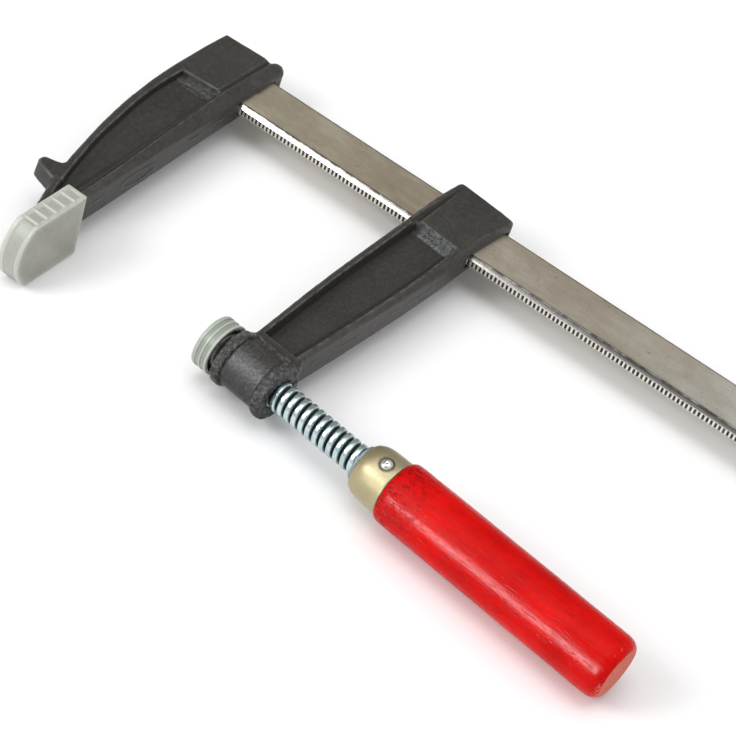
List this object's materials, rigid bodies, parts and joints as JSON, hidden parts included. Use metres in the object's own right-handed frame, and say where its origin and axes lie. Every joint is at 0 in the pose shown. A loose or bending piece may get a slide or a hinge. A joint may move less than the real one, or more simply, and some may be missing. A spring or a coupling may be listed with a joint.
{
  "type": "f-clamp",
  "caption": "Bar clamp for woodworking: a toothed flat rail with a cast fixed arm and a cast sliding arm that carries a turned-handle screw and a swivel pad.",
  "frame": {"origin": "centre of the pressure face of the fixed jaw cap", "axes": "+X along the rail away from the fixed jaw, -Y along the arms away from the rail, +Z square to the plane of the clamp"},
  "size_m": [0.4091, 0.2119, 0.0338],
  "materials": {
    "rail_steel": "bare rolled steel, satin",
    "cast_iron": "rough malleable casting, dark lacquer",
    "jaw_plastic": "milky soft plastic",
    "zinc_steel": "bright zinc plate",
    "plain_steel": "oiled steel",
    "yellow_zinc": "yellow passivated zinc, satin",
    "handle_wood": "red gloss lacquer over turned wood"
  },
  "bodies": {
    "frame": {"rail": "rail_steel", "fixed_arm": "cast_iron", "fixed_arm_dowels": "plain_steel", "fixed_jaw_cap": "jaw_plastic", "rail_stop_pin": "plain_steel"},
    "slider": {"sliding_arm": "cast_iron"},
    "screw_feed": {"socket_ring": "plain_steel"},
    "screw": {"spindle": "zinc_steel", "ferrule": "yellow_zinc", "cross_pin": "plain_steel", "handle": "handle_wood"},
    "pad": {"pressure_plate": "plain_steel", "pad_cap": "jaw_plastic"}
  },
  "joints": [
    {"name": "arm_slide", "type": "slide", "parent": "frame", "child": "slider", "axis": [1, 0, 0], "range_m": [-0.033, 0.2225]},
    {"name": "spindle_feed", "type": "slide", "parent": "slider", "child": "screw_feed", "axis": [-0.9949, 0.1011, 0], "range_m": [0, 0.0465]},
    {"name": "spindle_turn", "type": "hinge", "parent": "screw_feed", "child": "screw", "pos_m": [0.09041, 0.00855, 0], "axis": [-0.9949, 0.1011, 0], "range_deg": [-5, 4190]},
    {"name": "pad_swivel", "type": "hinge", "parent": "screw_feed", "child": "pad", "pos_m": [0.09041, 0.00855, 0], "axis": [0, 0, 1], "range_deg": [-6, 6]}
  ],
  "couplings": [
    {"joint": "spindle_turn", "follows": "spindle_feed", "rad_per_m": 1570.8}
  ]
}
